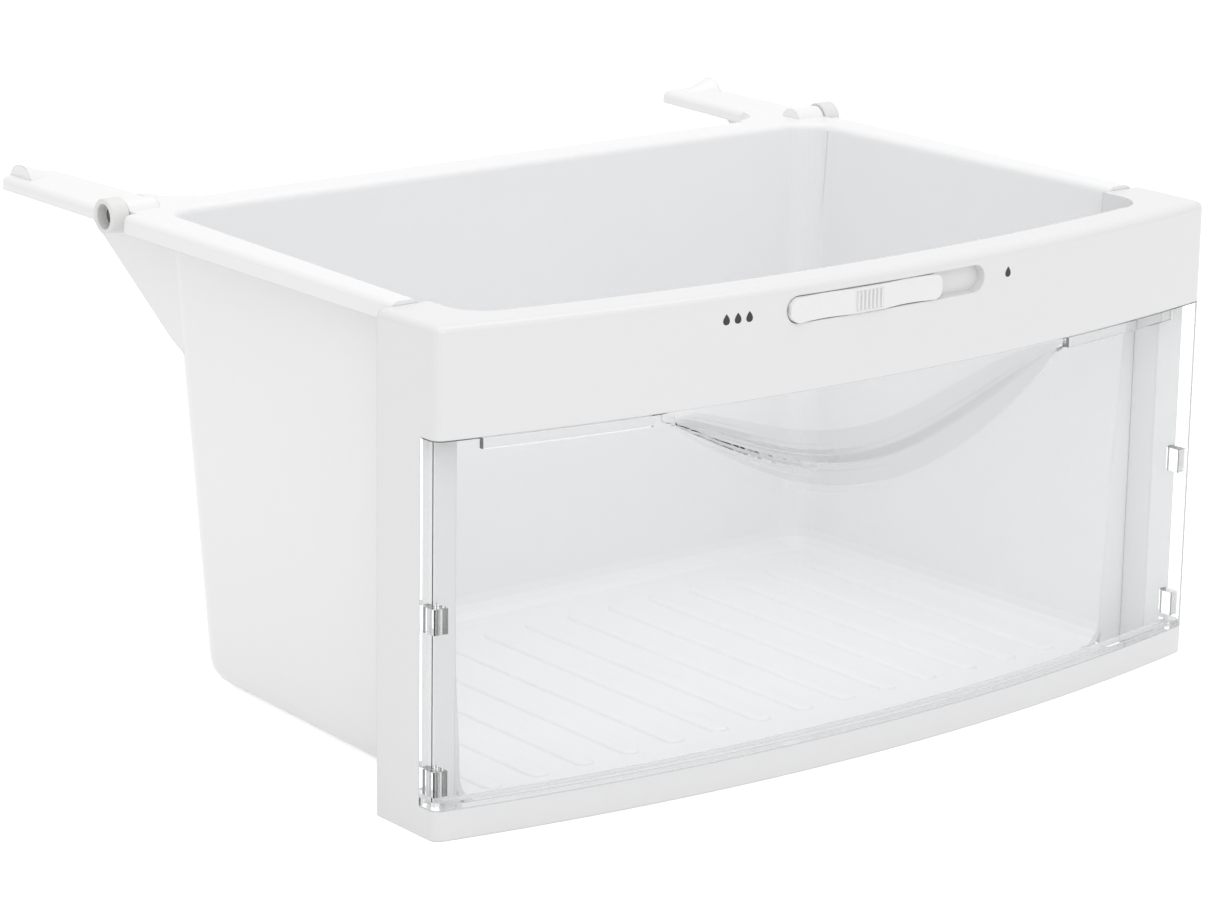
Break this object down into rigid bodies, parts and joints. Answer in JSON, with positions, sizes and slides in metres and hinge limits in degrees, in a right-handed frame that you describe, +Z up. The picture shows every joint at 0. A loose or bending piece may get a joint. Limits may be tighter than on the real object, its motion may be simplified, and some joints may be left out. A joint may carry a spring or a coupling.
{
  "type": "fridge drawer",
  "caption": "White fridge crisper drawer with a bowed front, clear window with finger scoop, humidity slider and roller-guided rear arms.",
  "frame": {"origin": "centre of the drawer's bounding box, on the surface that it stands on", "axes": "+X to the right of a person who faces the front, +Y from the front to the back, +Z up"},
  "size_m": [0.42, 0.3656, 0.2163],
  "materials": {
    "tub": "moulded white polystyrene, satin gloss",
    "frame": "moulded white plastic, satin gloss",
    "window": "clear water-white plastic, polished",
    "slider": "moulded white plastic, satin gloss",
    "roller": "moulded white acetal, satin",
    "pin": "dark turned steel"
  },
  "bodies": {
    "drawer": {"tub": "tub", "front_frame": "frame", "window": "window", "left_axle_pin": "pin", "right_axle_pin": "pin"},
    "humidity_slider": {"humidity_slider": "slider"},
    "left_roller": {"left_roller": "roller"},
    "right_roller": {"right_roller": "roller"}
  },
  "joints": [
    {"name": "humidity_slide", "type": "slide", "parent": "drawer", "child": "humidity_slider", "axis": [1, 0, 0], "range_m": [0, 0.024]},
    {"name": "left_roller_spin", "type": "hinge", "parent": "drawer", "child": "left_roller", "pos_m": [-0.2016, 0.08875, 0.2082], "axis": [1, 0, 0], "continuous": true},
    {"name": "right_roller_spin", "type": "hinge", "parent": "drawer", "child": "right_roller", "pos_m": [0.2016, 0.08875, 0.2082], "axis": [1, 0, 0], "continuous": true}
  ]
}
